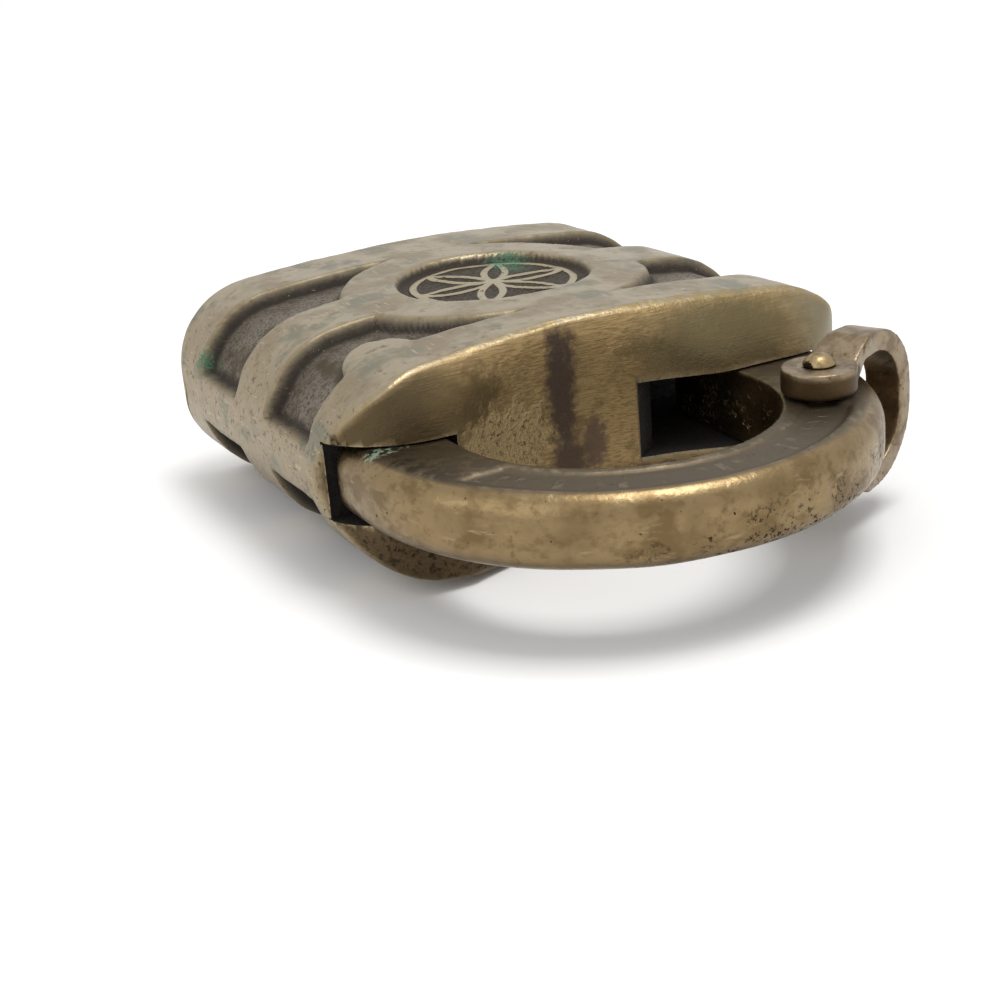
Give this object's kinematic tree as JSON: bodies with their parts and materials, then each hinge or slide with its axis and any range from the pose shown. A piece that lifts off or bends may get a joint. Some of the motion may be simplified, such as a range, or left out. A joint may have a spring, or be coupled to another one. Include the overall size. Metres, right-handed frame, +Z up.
{
  "type": "rusty padlock",
  "caption": "Weathered cast brass padlock with a crowned, panelled case, a swinging shackle and a chain bail; rests on its back.",
  "frame": {"origin": "under the middle of the whole lock, on the flat that its back rests on", "axes": "+X across the case to the hinge side, +Y from the shackle to the bottom end, +Z up through the front medallion"},
  "size_m": [0.07, 0.0892, 0.0273],
  "materials": {
    "cast_brass": "satin",
    "old_brass": "satin",
    "aged_steel": "satin"
  },
  "bodies": {
    "lock": {"body": "cast_brass", "bottom_plate": "old_brass", "bottom_plate_rivets": "cast_brass", "hinge_pin": "aged_steel", "cover_rivet": "aged_steel", "lock_plate": "aged_steel", "cap_plate": "aged_steel", "plate_pillars": "aged_steel", "lever_post": "aged_steel", "key_post": "aged_steel", "spring_block": "old_brass", "lever_spring_1": "aged_steel", "lever_spring_2": "aged_steel", "lever_spring_3": "aged_steel", "lever_spring_4": "aged_steel"},
    "bow": {"shackle": "old_brass", "bail_rivet": "cast_brass"},
    "chain_bail": {"bail": "cast_brass"},
    "bolt": {"bolt": "old_brass"},
    "cover": {"keyhole_cover": "old_brass"},
    "lever_1": {"lever_1": "old_brass"},
    "lever_2": {"lever_2": "old_brass"},
    "lever_3": {"lever_3": "old_brass"},
    "lever_4": {"lever_4": "old_brass"}
  },
  "joints": [
    {"name": "shackle_swing", "type": "hinge", "parent": "lock", "child": "bow", "pos_m": [0.021, -0.00265, 0.01365], "axis": [0, 0, 1], "range_deg": [0, 90]},
    {"name": "bail_swivel", "type": "hinge", "parent": "bow", "child": "chain_bail", "pos_m": [0.01685, -0.02805, 0.01365], "axis": [0, 0, 1], "range_deg": [-120, 8]},
    {"name": "bolt_slide", "type": "slide", "parent": "lock", "child": "bolt", "axis": [-1, 0, 0], "range_m": [0, 0.0042]},
    {"name": "cover_swing", "type": "hinge", "parent": "lock", "child": "cover", "pos_m": [0, 0.00615, 0.01365], "axis": [0, 0, 1], "range_deg": [-42, 42]},
    {"name": "lever_1_lift", "type": "hinge", "parent": "lock", "child": "lever_1", "pos_m": [0.0145, 0.01535, 0.01365], "axis": [0, 0, 1], "range_deg": [0, 5], "stiffness_Nm_per_rad": 0.02, "deforming": ["lever_spring_1"]},
    {"name": "lever_2_lift", "type": "hinge", "parent": "lock", "child": "lever_2", "pos_m": [0.0145, 0.01535, 0.01365], "axis": [0, 0, 1], "range_deg": [0, 5], "stiffness_Nm_per_rad": 0.02, "deforming": ["lever_spring_2"]},
    {"name": "lever_3_lift", "type": "hinge", "parent": "lock", "child": "lever_3", "pos_m": [0.0145, 0.01535, 0.01365], "axis": [0, 0, 1], "range_deg": [0, 5], "stiffness_Nm_per_rad": 0.02, "deforming": ["lever_spring_3"]},
    {"name": "lever_4_lift", "type": "hinge", "parent": "lock", "child": "lever_4", "pos_m": [0.0145, 0.01535, 0.01365], "axis": [0, 0, 1], "range_deg": [0, 5], "stiffness_Nm_per_rad": 0.02, "deforming": ["lever_spring_4"]}
  ]
}
